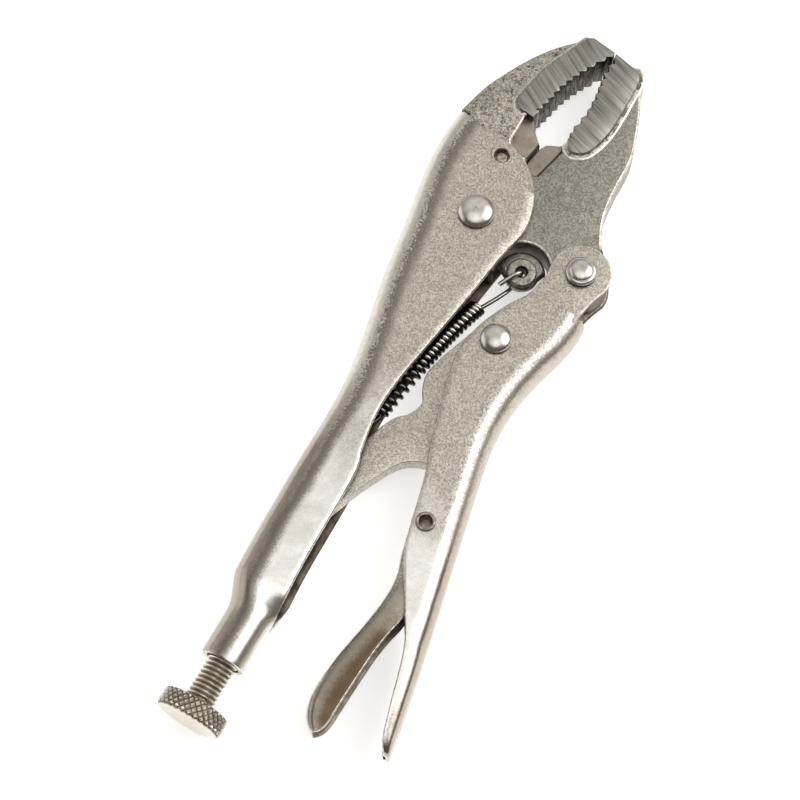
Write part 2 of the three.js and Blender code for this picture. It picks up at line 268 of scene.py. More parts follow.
def inset(loop, distance):
    """A closed outline moved in by a distance, with mitred corners."""
    moved = []
    count = len(loop)
    for i in range(count):
        before, here, after = Vector(loop[i - 1]), Vector(loop[i]), Vector(loop[(i + 1) % count])
        first, second = (here - before).normalized(), (after - here).normalized()
        normals = [Vector((-d.y, d.x)) for d in (first, second)]
        turn = 1 + normals[0].dot(normals[1])
        moved.append(tuple(here + (normals[0] + normals[1]) * (distance / max(turn, 0.35))))
    return moved


def counterclockwise(loop):
    """The closed outline, listed counterclockwise."""
    area = sum(a[0] * b[1] - b[0] * a[1] for a, b in zip(loop, loop[1:] + loop[:1]))
    return loop if area > 0 else loop[::-1]


def rounded(half, rim, steps=4):
    """The side profile of a plate with rounded rims, as (inset, height) from its lower to its upper face."""
    turns = [math.pi / 2 * k / steps for k in range(steps + 1)]
    lower = [(rim * (1 - math.sin(a)), -half + rim * (1 - math.cos(a))) for a in turns]
    return lower + [(d, -z) for d, z in reversed(lower)]


def slab(name, outline, profile, holes=(), hole_rim=0.2, marked=None):
    """A plate: its outline stacked along the profile, with round holes, closed at both faces.
    marked(x, y, height) gives the mark of each side face."""
    outer = counterclockwise(outline)
    loops = [[(*p, z) for p in inset(outer, d)] for d, z in profile]
    points = [p for loop in loops for p in loop]
    count = len(outer)
    faces = []
    marks = {}
    for level in range(len(loops) - 1):
        for i in range(count):
            j = (i + 1) % count
            base = level * count
            if marked:
                marks[len(faces)] = int(marked(*outer[i], profile[level][1]))
            faces.append((base + i, base + j, base + count + j, base + count + i))
    ends = [[list(range(count))], [list(range(count * (len(loops) - 1), count * len(loops)))]]
    for centre, radius in holes:
        first = len(points)
        low, high = profile[0][1], profile[-1][1]
        levels = [(hole_rim, low), (0, low + hole_rim), (0, high - hole_rim), (hole_rim, high)]
        ring = 40
        for flare, z in levels:
            points += [(*p, z) for p in circle(centre, radius + flare, ring)]
        for level in range(3):
            for i in range(ring):
                j = (i + 1) % ring
                base = first + level * ring
                faces.append((base + j, base + i, base + ring + i, base + ring + j))
        ends[0].append(list(range(first, first + ring)))
        ends[1].append(list(range(first + 3 * ring, first + 4 * ring)))
    work = bmesh.new()
    verts = [work.verts.new(p) for p in points]
    for number, face in enumerate(faces):
        work.faces.new([verts[i] for i in face]).material_index = marks.get(number, 0)
    for end in ends:
        edges = []
        for loop in end:
            for i, j in zip(loop, loop[1:] + loop[:1]):
                edges.append(work.edges.get((verts[i], verts[j])) or work.edges.new((verts[i], verts[j])))
        bmesh.ops.triangle_fill(work, use_beauty=True, use_dissolve=False, edges=edges)
    bmesh.ops.recalc_face_normals(work, faces=work.faces)
    mesh = bpy.data.meshes.new(name)
    work.to_mesh(mesh)
    work.free()
    return mesh


def grid(name, rings, wrap=False):
    """A sheet through rings of points, as many in each."""
    count = len(rings[0])
    across = count if wrap else count - 1
    faces = []
    for i in range(len(rings) - 1):
        for j in range(across):
            k = (j + 1) % count
            faces.append((i * count + j, (i + 1) * count + j, (i + 1) * count + k, i * count + k))
    return mesh_of(name, [p for ring in rings for p in ring], faces)


def turned(name, profile, centre, sides=72):
    """A solid turned on an upright axis through centre: profile of (radius, height)."""
    rings = []
    for k in range(sides):
        angle = 2 * math.pi * k / sides
        rings.append([
            (centre[0] + radius * math.cos(angle), centre[1] + radius * math.sin(angle), height)
            for radius, height in profile])
    return turned_out(grid(name, rings + [rings[0]]))


def cut(mesh, *tools):
    """The mesh with closed tool meshes taken away."""
    holders = []
    for tool in tools:
        holder = bpy.data.objects.new(tool.name, tool)
        bpy.context.scene.collection.objects.link(holder)
        holders.append(holder)
    made = modified(mesh, *(
        ("BOOLEAN", {"operation": "DIFFERENCE", "solver": "EXACT", "object": holder}) for holder in holders))
    for holder in holders:
        bpy.data.objects.remove(holder)
    return made


def drill(centre, radius, half, flare=0.3):
    """A drill right through that eases the hole where it leaves the faces at half."""
    over, past = 0.05, 1
    upper = [(radius, half - flare), (radius + flare, half + over),
             (radius + flare, half + past), (0, half + past)]
    return turned("drill", both_ends(upper), centre, sides=40)


def both_ends(upper):
    """A profile and its mirror below the middle plane, from the lower end to the upper."""
    return [(r, -z) for r, z in reversed(upper)] + upper


def box_tool(low, high):
    """A box between two corners."""
    work = bmesh.new()
    bmesh.ops.create_cube(work, size=1)
    for vertex in work.verts:
        vertex.co = [mix(a, b, c + 0.5) for a, b, c in zip(low, high, vertex.co)]
    mesh = bpy.data.meshes.new("box_tool")
    work.to_mesh(mesh)
    work.free()
    return mesh


# ---- shader building ----

class Amount:
    """A socket in a shader. Arithmetic on it adds Math nodes."""

    def __init__(self, shader, socket):
        self.shader = shader
        self.socket = socket

    def _math(self, operation, *values):
        return self.shader.node("ShaderNodeMath", {"operation": operation}, dict(enumerate(values)))

    def __add__(self, other):
        return self._math("ADD", self, other)

    def __radd__(self, other):
        return self._math("ADD", other, self)

    def __sub__(self, other):
        return self._math("SUBTRACT", self, other)

    def __rsub__(self, other):
        return self._math("SUBTRACT", other, self)

    def __mul__(self, other):
        return self._math("MULTIPLY", self, other)

    def __rmul__(self, other):
        return self._math("MULTIPLY", other, self)

    def __pow__(self, other):
        return self._math("POWER", self, other)

    def clamp(self):
        return self.shader.node("ShaderNodeClamp", {}, {"Value": self})

    def step(self, low, high):
        """0 below low and 1 above high, smoothly between."""
        settings = {"interpolation_type": "SMOOTHSTEP"}
        return self.shader.node("ShaderNodeMapRange", settings, {0: self, 1: low, 2: high})


class Shader:
    """A material and its nodes."""

    def __init__(self, name, tree=None):
        self.material = None
        if tree is None:
            self.material = bpy.data.materials.new(name)
            self.material.use_nodes = True
            tree = self.material.node_tree
        self.tree = tree
        self.tree.nodes.clear()
        self.place = None

    def node(self, kind, settings, values, output=0):
        """Adds a node: its settings first, then its sockets' values or links. Returns one output."""
        made = self.tree.nodes.new(kind)
        for key, value in settings.items():
            setattr(made, key, value)
        for key, value in values.items():
            if isinstance(value, Amount):
                self.tree.links.new(value.socket, made.inputs[key])
            else:
                made.inputs[key].default_value = value
        return Amount(self, made.outputs[output])

    def position(self):
        """The place on the tool, in metres, which moves with the piece."""
        if self.place is None:
            self.place = self.node("ShaderNodeTexCoord", {}, {}, "Object")
        return self.place

    def axis(self, which):
        """The place along one axis, in metres."""
        return self.node("ShaderNodeSeparateXYZ", {}, {0: self.position()}, which)

    def noise(self, size_mm, detail=2.0, rough=0.5, stretch=None):
        """Noise with lumps of about the given size, stretched by a factor on each axis if asked."""
        place = self.position()
        if stretch:
            place = self.node("ShaderNodeVectorMath", {"operation": "MULTIPLY"}, {0: place, 1: stretch})
        values = {"Vector": place, "Scale": 1 / (size_mm * MM), "Detail": detail, "Roughness": rough}
        return self.node("ShaderNodeTexNoise", {}, values)

    def grain(self, size_mm):
        """Blasted grains: a different grey in each cell of about the given size, over soft noise."""
        values = {"Vector": self.position(), "Scale": 1 / (size_mm * MM)}
        cell = self.node("ShaderNodeTexVoronoi", {"feature": "F1"}, values, "Color")
        return cell * 0.75 + self.noise(size_mm * 8, 3, 0.7) * 0.25

    def blend(self, first, second, share):
        """A colour between two colours."""
        settings = {"data_type": "RGBA"}
        return self.node("ShaderNodeMix", settings, {0: share, 6: first, 7: second}, 2)

    def bump(self, height, depth_mm, strength=1.0, under=None):
        values = {"Height": height, "Distance": depth_mm * MM, "Strength": strength}
        if under is not None:
            values["Normal"] = under
        return self.node("ShaderNodeBump", {}, values)

    def metal(self, colour, roughness, normal=None, metallic=1.0, coat=0.0):
        values = {"Base Color": colour, "Roughness": roughness, "Metallic": metallic, "Coat Weight": coat}
        if normal is not None:
            values["Normal"] = normal
        surface = self.node("ShaderNodeBsdfPrincipled", {}, values)
        self.node_output(surface)
        return self.material

    def node_output(self, surface, kind="ShaderNodeOutputMaterial"):
        out = self.tree.nodes.new(kind)
        self.tree.links.new(surface.socket, out.inputs[0])


SAND_LIGHT = (0.69, 0.65, 0.575, 1)
SAND_DARK = (0.31, 0.28, 0.235, 1)
WORN = (0.90, 0.885, 0.84, 1)
WORN_SHADE = (0.66, 0.63, 0.57, 1)
# painted shade: the dark band along a pressed sheet's bend
BEND_SHADE = (0.13, 0.11, 0.085, 1)
FLANK_FLECK = (0.30, 0.27, 0.22, 1)
NEAR_BLACK = (0.035, 0.03, 0.025, 1)
HOLE_SHADE = (0.03, 0.025, 0.02, 1)
RIVET_FOOT_SHADOW = (0.07, 0.06, 0.05, 1)


def plated_nickel(name, sandy, smooth, bend=None, side=None, side_rear=None, bend_shade=0.6, rubbed=0.0,
                  worn=WORN, shade=WORN_SHADE, light=SAND_LIGHT, dark=SAND_DARK):
    """Nickel over shot-blasted sheet, sandy in front of one x and worn smooth behind another.
    bend gives the distances from the back, in mm, where a band of painted shade along the sheet's bend
    starts, is darkest from and to, and ends; bend_shade is that band's strength. side and side_rear are
    the colours of its back in front and behind, painted light and shade of the curved back. rubbed is the
    strength of a painted highlight in the worn colour where the band ends, which also stands for rubbed
    plating."""
    shader = Shader(name)
    drift = shader.noise(16, 3, 0.6)
    wear = (shader.axis(0) + (drift - 0.5) * 0.05).step(sandy * MM, smooth * MM)
    grit = 1 - wear
    sand = shader.grain(0.38)
    fleck = shader.noise(1.5, 3, 0.65)
    speckle = sand.step(0.22, 0.78) * 0.84 + fleck.step(0.45, 0.70) * 0.10
    blasted = shader.blend(light, dark, speckle.clamp())
    stain = sand.step(0.50, 0.80) * 0.26 + drift.step(0.46, 0.70) * 0.36
    polished = shader.blend(worn, shade, stain.clamp())
    colour = shader.blend(blasted, polished, wear)
    if bend:
        start, dark_from, dark_to, end = bend
        inward = shader.node("ShaderNodeAttribute", {"attribute_name": FROM_BACK}, {}, "Fac")
        inward = inward + (sand - 0.5) * 4.5 * (0.35 + grit * 0.65) + (drift - 0.5) * 2.5
        # Painted light and shade: the curved back takes its own colours in front and behind, with flecks.
        flank = shader.blend(side, side_rear, wear)
        flank = shader.blend(flank, FLANK_FLECK, (fleck.step(0.44, 0.72) * 0.30).clamp())
        colour = shader.blend(colour, flank, 1 - inward.step(start, end))
        # Painted highlight, also standing for rubbed plating: a light band in the worn colour where the dark
        # band ends.
        ridge = inward.step(dark_to - 0.5, end) * (1 - inward.step(end, end + 2.5))
        colour = shader.blend(colour, worn, (ridge * (0.6 + sand * 0.8) * rubbed).clamp())
        # Painted shade: a dark band along the sheet's bend.
        bend_shade_band = inward.step(start, dark_from) * (1 - inward.step(dark_to, end))
        colour = shader.blend(colour, BEND_SHADE, (bend_shade_band * bend_shade).clamp())
    roughness = (0.36 - 0.12 * wear + (fleck - 0.5) * 0.16).clamp()
    normal = shader.bump(sand * (grit + 0.1), 0.06)
    normal = shader.bump(shader.noise(6, 2), 0.30, 0.5, normal)
    return shader.metal(colour, roughness, normal)


def shaded_dull_inside(name, light, dark):
    """The dull inside of a pressed channel, its dark colour a painted shade."""
    shader = Shader(name)
    cloud = shader.noise(5, 3, 0.6)
    colour = shader.blend(light, dark, cloud.step(0.36, 0.66))
    return shader.metal(colour, (0.5 + (cloud - 0.5) * 0.2).clamp(), shader.bump(shader.noise(0.7, 2), 0.1))


def tooth_flank(name):
    """The dark cut walls between the teeth, scored from face to face."""
    shader = Shader(name)
    score = shader.noise(0.5, 3, 0.7, (1.0, 1.0, 0.12))
    colour = shader.blend((0.20, 0.18, 0.15, 1), NEAR_BLACK, score.step(0.38, 0.62))
    return shader.metal(colour, (0.42 + (score - 0.5) * 0.3).clamp(), shader.bump(score, 0.12))


def highlighted_worn_edge(name, light, dark):
    """A raw sheet or forging edge in a light colour, a painted highlight that also stands for rubbed wear,
    darker in places.
    """
    shader = Shader(name)
    chip = shader.noise(1.3, 4, 0.7)
    colour = shader.blend(light, dark, chip.step(0.42, 0.66) * 0.9)
    return shader.metal(colour, (0.36 + (chip - 0.5) * 0.3).clamp(), shader.bump(chip, 0.22))


def forged_nickel(name, light, dark, pitting, hole_shaded=None):
    """Nickel over a blasted forging: coarse sandy skin with pits and flow marks, and painted shade
    darkening the hole whose (x, y) is hole_shaded."""
    shader = Shader(name)
    sand = shader.grain(0.42)
    pits = shader.noise(1.7, 4, 0.75).step(0.50, 0.67)
    skin = shader.noise(7, 3, 0.6)
    tone = (sand.step(0.22, 0.78) * 0.66 + pits * pitting + (skin - 0.5) * 0.5).clamp()
    colour = shader.blend(light, dark, tone)
    # Painted shade: dark down the spring hole.
    if hole_shaded:
        across, along = shader.axis(0) - hole_shaded[0] * MM, shader.axis(1) - hole_shaded[1] * MM
        reach = (across * across + along * along) ** 0.5
        hole_shade = 1 - reach.step((SPRING_HOLE_RADIUS + 0.2) * MM, (SPRING_HOLE_RADIUS + 0.9) * MM)
        colour = shader.blend(colour, HOLE_SHADE, hole_shade)
    roughness = (0.40 + (skin - 0.5) * 0.16).clamp()
    normal = shader.bump(sand - pits * pitting * 2, 0.12)
    normal = shader.bump(skin, 0.35, 0.6, normal)
    return shader.metal(colour, roughness, normal)


def ground_steel(name, direction):
    """A ground face with fine scratches across the jaw; direction turns them in the plane."""
    shader = Shader(name)
    turn = {"rotation_type": "Z_AXIS"}
    place = shader.node("ShaderNodeVectorRotate", turn, {"Vector": shader.position(), "Angle": direction})
    shader.place = place
    scratch = shader.noise(0.5, 4, 0.7, (1.0, 0.035, 1.0))
    wide = shader.noise(1.6, 3, 0.6, (1.0, 0.05, 1.0))
    tone = ((scratch - 0.5) * 1.3 + (wide - 0.5) * 2.4 + 0.48).clamp()
    colour = shader.blend((0.42, 0.405, 0.365, 1), (0.15, 0.14, 0.12, 1), tone)
    roughness = (0.36 + (wide - 0.5) * 0.25).clamp()
    return shader.metal(colour, roughness, shader.bump(scratch + wide * 0.6, 0.05))


def shaded_brown_steel(name, seam, angle):
    """Brown colour over a machined cutting block, a painted shade and brown reflection, with a painted
    shadow
    darkest along a seam: a line through a point at an angle, with the block on its left."""
    shader = Shader(name)
    sand = shader.noise(0.8, 3, 0.6)
    cloud = shader.noise(4, 3, 0.6)
    turn = math.radians(angle)
    off = (shader.axis(1) - seam[1] * MM) * math.cos(turn) - (shader.axis(0) - seam[0] * MM) * math.sin(turn)
    shadow = 1 - off.step(0.5 * MM, 1.3 * MM)
    tone = ((cloud - 0.5) * 1.6 + 0.35 + shadow).clamp()
    # Painted shade and brown reflection: the block's brown colour.
    colour = shader.blend((0.42, 0.375, 0.31, 1), (0.20, 0.16, 0.12, 1), tone)
    # Painted shadow along the seam.
    colour = shader.blend(colour, NEAR_BLACK, shadow)
    return shader.metal(colour, (0.40 + (cloud - 0.5) * 0.2).clamp(), shader.bump(sand, 0.05))


def bright_rivet(name):
    """Polished rivet heads, darkened round their feet as painted shadow."""
    shader = Shader(name)
    cloud = shader.noise(3, 2, 0.5)
    marks = shader.noise(0.35, 2, 0.6)
    up = shader.node("ShaderNodeMath", {"operation": "ABSOLUTE"}, {0: shader.axis(2) - MIDDLE * MM})
    foot = 1 - up.step((HANDLE_HALF + 0.55) * MM, (HANDLE_HALF + 1.15) * MM)
    dullness = ((cloud - 0.5) * 1.8 + 0.35).clamp()
    colour = shader.blend((0.72, 0.70, 0.655, 1), (0.42, 0.39, 0.335, 1), dullness)
    # Painted shadow round the foot of each head.
    colour = shader.blend(colour, RIVET_FOOT_SHADOW, foot * 0.9)
    roughness = (0.20 + (cloud - 0.5) * 0.16 + foot * 0.2).clamp()
    return shader.metal(colour, roughness, shader.bump(marks, 0.02))


def dull_pin(name):
    """Dull plating on small pins, rubbed and dirty in patches."""
    shader = Shader(name)
    cloud = shader.noise(1.2, 3, 0.6)
    colour = shader.blend((0.44, 0.40, 0.33, 1), (0.18, 0.155, 0.12, 1), cloud.step(0.35, 0.65))
    return shader.metal(colour, 0.42, shader.bump(cloud, 0.08))


def black_wire(name):
    """Oiled black spring wire, rubbed bare on its straight front hook, with a painted highlight along the
    tops of its front coils.
    """
    shader = Shader(name)
    cloud = shader.noise(2.0, 2, 0.5)
    bare = shader.axis(0).step(-27 * MM, -22 * MM)
    colour = shader.blend((0.07, 0.064, 0.06, 1), (0.22, 0.205, 0.19, 1), cloud.step(0.46, 0.70))
    # Painted highlight: lighter along the tops of the front coils.
    crest = shader.axis(2).step((MIDDLE + 2.0) * MM, (MIDDLE + 3.0) * MM)
    colour = shader.blend(colour, (0.62, 0.59, 0.54, 1), crest * shader.axis(0).step(-62 * MM, -40 * MM))
    colour = shader.blend(colour, (0.45, 0.42, 0.37, 1), bare * 0.85)
    return shader.metal(colour, (0.20 + (cloud - 0.5) * 0.2).clamp(), None, 1.0, 0.5)


def screw_nickel(name):
    """Brownish nickel on rolled thread and knurl, darker down in the grooves by its height."""
    shader = Shader(name)
    y = shader.axis(1)
    z = shader.axis(2)
    across, up = y - SCREW_AXIS * MM, z - MIDDLE * MM
    reach = (across * across + up * up) ** 0.5
    groove = 1 - reach.step((THREAD_RADIUS - THREAD_DEPTH) * MM, THREAD_RADIUS * MM)
    knurl = reach.step((KNOB_RADIUS - 1.2) * MM, (KNOB_RADIUS - 0.9) * MM)
    side = shader.axis(0).step((KNOB_REAR + 0.05) * MM, (KNOB_REAR + 0.5) * MM)
    deep = 1 - reach.step((KNOB_RADIUS - 0.80) * MM, (KNOB_RADIUS - 0.30) * MM)
    shank = 1 - reach.step((THREAD_RADIUS + 0.02) * MM, (THREAD_RADIUS + 0.4) * MM)
    hollow = (groove * shank + deep * knurl).clamp() * side
    cloud = shader.noise(2.2, 3, 0.6)
    tone = (hollow * 0.9 + (cloud - 0.5) * 0.5).clamp()
    colour = shader.blend((0.80, 0.735, 0.645, 1), (0.14, 0.11, 0.08, 1), tone)
    return shader.metal(colour, (0.30 + hollow * 0.2 + (cloud - 0.5) * 0.15).clamp(),
                        shader.bump(shader.noise(0.5, 2), 0.03))


# Painted highlights along edges, also standing for rubbed wear: EDGE on sheet and forging edges and the
# pocket's rim, BRIGHT_EDGE on the ledges' ridges and the lever's edges.
EDGE = highlighted_worn_edge("highlighted_worn_edge", (0.82, 0.785, 0.72, 1), (0.36, 0.32, 0.26, 1))
BRIGHT_EDGE = highlighted_worn_edge("ledge_and_rim_highlight", (0.92, 0.90, 0.85, 1), (0.50, 0.46, 0.40, 1))
# Painted shade: the insides and inner edges of the channels, and walls tucked into them.
SHADED_INSIDE = shaded_dull_inside("shaded_dull_channel_inside", (0.18, 0.15, 0.115, 1), (0.07, 0.058, 0.045, 1))
LEVER_SHADED_INSIDE = shaded_dull_inside("shaded_dull_lever_inside", (0.52, 0.46, 0.38, 1), (0.30, 0.25, 0.19, 1))
FLANK = tooth_flank("dark_tooth_flank")
# After the wear limits come the painted light and shade of each channel: the bend band's distances, the
# back's colours in front and behind, the band's strength and the ridge highlight's strength.
HANDLE_FINISH = (
    plated_nickel("blasted_nickel_handle", -58, -100, (4.4, 6.2, 7.1, 10.2), (0.70, 0.67, 0.61, 1),
                  (0.41, 0.37, 0.315, 1), 0.80),
    EDGE, SHADED_INSIDE)
LOWER_FINISH = (
    plated_nickel("blasted_nickel_lower_handle", -84, -112, (1.1, 2.0, 2.9, 4.6), (0.60, 0.545, 0.47, 1),
                  (0.50, 0.435, 0.365, 1), 0.35, 0.7),
    EDGE, SHADED_INSIDE)
# The lever's dark brown worn colours are a painted dark reflection on its smooth rear, and its light back
# colours a painted highlight along its rim.
LEVER_FINISH = (
    plated_nickel("nickel_lever_painted_brown_reflection", -116, -140, (0.4, 1.4, 2.2, 6.0), (0.66, 0.62, 0.55, 1),
                  (0.62, 0.57, 0.49, 1), 0.55, 0.0, (0.14, 0.098, 0.062, 1), (0.10, 0.070, 0.044, 1),
                  (0.58, 0.52, 0.44, 1), (0.38, 0.33, 0.265, 1)),
    BRIGHT_EDGE, LEVER_SHADED_INSIDE)
LINK_FINISH = plated_nickel("blasted_nickel_link", -300, -400)
FORGED_FIXED = forged_nickel("forged_nickel_fixed_jaw", (0.62, 0.59, 0.52, 1), (0.15, 0.13, 0.10, 1), 0.60)
FORGED_MOVABLE = forged_nickel(
    "forged_nickel_movable_jaw", (0.43, 0.41, 0.36, 1), (0.14, 0.125, 0.10, 1), 0.16)
BOSS = forged_nickel("hole_shaded_spring_boss", (0.56, 0.53, 0.47, 1), (0.16, 0.14, 0.11, 1), 0.3, SPRING_HOLE)
GROUND_FIXED = ground_steel("ground_steel_fixed_jaw", math.radians(32))
GROUND_MOVABLE = ground_steel("ground_steel_movable_jaw", math.radians(20))
SHADED_BROWN_FIXED = shaded_brown_steel("shaded_brown_steel_fixed_cutter", (30, -5.1), -9)
SHADED_BROWN_MOVABLE = shaded_brown_steel("shaded_brown_steel_movable_cutter", (30.5, -12.2), -12.6)
RIVET = bright_rivet("bright_rivet_steel")
PIN = dull_pin("dull_pin_steel")
WIRE = black_wire("black_spring_wire")
SCREW = screw_nickel("brown_nickel_screw")


# ---- pressed handles ----

def sheet_loop(lip, back, half, corner, sheet, shrink):
    """A closed loop round a sheet bent to a U: its outside from the near lip over the back to the far
    lip, the far edge, its inside and the near edge. lip and back are (x, y). Each entry is
    (x, y, z, share along the U, depth in the sheet); shrink draws the loop into the sheet."""
    side = 1 if back[1] > lip[1] else -1
    height = abs(back[1] - lip[1])
    ease = min(EASE + shrink, height * 0.2)
    start = lip[1] + side * ease

    def layer(depth):
        sunk = min(depth, height * 0.55, half * 0.6)
        top = back[1] - side * sunk
        r = min(max(corner - sunk, 0.4), abs(top - start) * 0.9, (half - sunk) * 0.9)
        flat = [(mix(start, top - side * r, k / 8), half - sunk) for k in range(8)]
        turns = [math.pi / 2 * k / 10 for k in range(10)]
        turn = [(top - side * r * (1 - math.sin(a)), half - sunk - r * (1 - math.cos(a))) for a in turns]
        web = [(top, mix(half - sunk - r, 0, k / 3)) for k in range(4)]
        near = flat + turn + web
        both = near + [(y, -z) for y, z in reversed(near[:-1])]
        return [(mix(lip[0], back[0], (y - lip[1]) / (back[1] - lip[1])), y, z, j / (len(both) - 1), depth)
                for j, (y, z) in enumerate(both)]

    def lip_edge(first, last, share):
        curve = []
        for k in range(1, LIP_STEPS):
            angle = math.pi * k / LIP_STEPS
            across = (1 - math.cos(angle)) / 2
            z, depth = mix(first[2], last[2], across), mix(first[4], last[4], across)
            curve.append((lip[0], start - side * ease * math.sin(angle), z, share, depth))
        return curve

    outside, inside = layer(shrink), layer(sheet - shrink)
    far, near = lip_edge(outside[-1], inside[-1], 1), lip_edge(inside[0], outside[0], 0)
    return outside + far + inside[::-1] + near


def pressed(name, section, stations, tools=()):
    """A bent sheet through the loops that section(station, shrink) gives, with eased ends, then pierced.
    Its faces are marked 0 outside, 1 on the outer half of its edges and 2 inside."""
    first, last = stations[0], stations[-1]
    way = math.copysign(EASE, last - first)
    turns = [math.radians(a) for a in (90, 60, 30)]
    plan = [(first + way * (1 - math.sin(a)), EASE * (1 - math.cos(a))) for a in turns]
    plan += [(x, 0) for x in stations if min(abs(x - first), abs(x - last)) > EASE + 0.1]
    plan += [(last - way * (1 - math.sin(a)), EASE * (1 - math.cos(a))) for a in reversed(turns)]
    loops = [section(x, shrink) for x, shrink in plan]
    count = len(loops[0])
    across = count // 2 - LIP_STEPS + 1
    half_edge = LIP_STEPS // 2
    work = bmesh.new()
    from_back = work.verts.layers.float.new(FROM_BACK)
    rows = [[work.verts.new(entry[:3]) for entry in loop] for loop in loops]
    for row, loop in zip(rows, loops):
        for vertex, entry in zip(row, loop):
            vertex[from_back] = abs(entry[1] - loop[across // 2][1])

    def mark(j):
        if j < across - 1:
            return 0
        return 1 if j < across - 1 + half_edge or j >= count - half_edge else 2

    for i in range(len(rows) - 1):
        for j in range(count):
            k = (j + 1) % count
            face = work.faces.new((rows[i][j], rows[i + 1][j], rows[i + 1][k], rows[i][k]))
            face.material_index = mark(j)
    for row in (rows[0], rows[-1]):
        inside = row[across + LIP_STEPS - 1:2 * across + LIP_STEPS - 1][::-1]
        for j in range(across - 1):
            work.faces.new((row[j], row[j + 1], inside[j + 1], inside[j])).material_index = 1
        work.faces.new(row[across - 1:across + LIP_STEPS]).material_index = 1
        work.faces.new(row[2 * across + LIP_STEPS - 2:] + [row[0]]).material_index = 1
    bmesh.ops.recalc_face_normals(work, faces=work.faces)
    mesh = bpy.data.meshes.new(name)
    for _ in range(3):
        mesh.materials.append(None)
    work.to_mesh(mesh)
    work.free()
    return cut(mesh, *tools)


handle_back = height_over([
    (32, 23.4), (22, 23.86), (8, 22.9), (-12, 19.2), (-32, 15.9), (-60, 9.9), (-78, 8), (-104, 7.8),
    (-138, 6.5), (-150, 4), (-156, SCREW_AXIS + NECK_RADIUS), (NECK_END, SCREW_AXIS + NECK_RADIUS),
])
handle_lips = height_over([
    (27.3, 3), (23.5, -5.6), (17.5, -11.6), (10, -15.1), (1, -16.5), (-10, -14.4), (-36, -10.9), (-62, -7),
    (-75, -6.6), (-87, -8.4), (-96, -10.6), (-125, -11.2), (-140, -12.2), (-147, -13), (-152, -12.2),
    (NECK_END, -12.2),
])


def neck_share(x):
    """How far a station is from the open channel (0) to the round neck (1)."""
    return smooth_step(137, 150.5, -x)


def fixed_handle():
    """The fixed handle: a channel, fanned out over the hub and drawn to a round neck at the rear."""
    front, lips_front, fan_from = 31.5, 27.3, -20

    def section(x, shrink):
        lip_x = x if x < fan_from else mix(fan_from, lips_front, (x - fan_from) / (front - fan_from))
        nose = smooth_step(front - 7, front, x)
        lip, back = (lip_x, handle_lips(lip_x)), (x, handle_back(x))
        share = neck_share(x)
        shaped = []
        for px, py, pz, along, depth in sheet_loop(lip, back, HANDLE_HALF, HANDLE_CORNER, SHEET, shrink):
            angle = math.pi * (1 - 2 * along) * 0.99
            radius = NECK_RADIUS - depth
            cy, cz = SCREW_AXIS + radius * math.cos(angle), radius * math.sin(angle)
            hollow = 1.3 * nose * math.sin(math.pi * min(min(along, 1 - along) / 0.3, 1))
            shaped.append((px - hollow, mix(py, cy, share), mix(pz, cz, share)))
        return shaped

    stations = [front - 1.1 * k for k in range(26)]
    stations += [mix(stations[-1], -136, k / 50) for k in range(1, 51)]
    stations += [mix(-136, NECK_END, k / 26) for k in range(1, 27)]
    tools = [
        drill(TANG_PIN, TANG_HOLE, HANDLE_HALF),
        box_tool((TAB_PLACE - 8, 0, -TAB_HALF), (TAB_PLACE - 1, 14, TAB_HALF)),
    ]
    shell = pressed("fixed_handle_shell", section, stations, tools)
    finish("fixed_handle_shell", shell, "root", HANDLE_FINISH, ["fixed_handle"])
    tab_outline = [(TAB_PLACE - 1, handle_back(TAB_PLACE) - 1.4), (TAB_PLACE - 1, -3.5),
                   (TAB_PLACE + 1, -3.5), (TAB_PLACE + 1, handle_back(TAB_PLACE) - 1.4)]
    tab = slab("spring_tab", tab_outline, rounded(TAB_HALF, 0.3))
    # The tab inside the channel takes the painted shade of the inside.
    finish("spring_tab", tab, "root", SHADED_INSIDE, ["fixed_handle"])


lower_back = height_over([
    (-14, -47.6), (-20, -47.7), (-28, -46.5), (-37, -44), (-48, -41.8), (-58, -41.3), (-68, -42.2),
    (-81, -44.8), (-104, -49.8), (-130, -55.5), (-150, -59.4), (-165, -61.9),
])
LOWER_LIPS = [
    (-8, -29.6), (-16.8, -27.7), (-22, -24.4), (-30, -20.7), (-36, -18.9), (-42.5, -17.9), (-51, -18.9),
    (-72, -24.5), (-86, -29.2), (-103, -33.4), (-110, -35.8), (-124, -43.9), (-135, -49.9), (-152, -54.8),
    (-161, -57.5), (-165, -59.9),
]


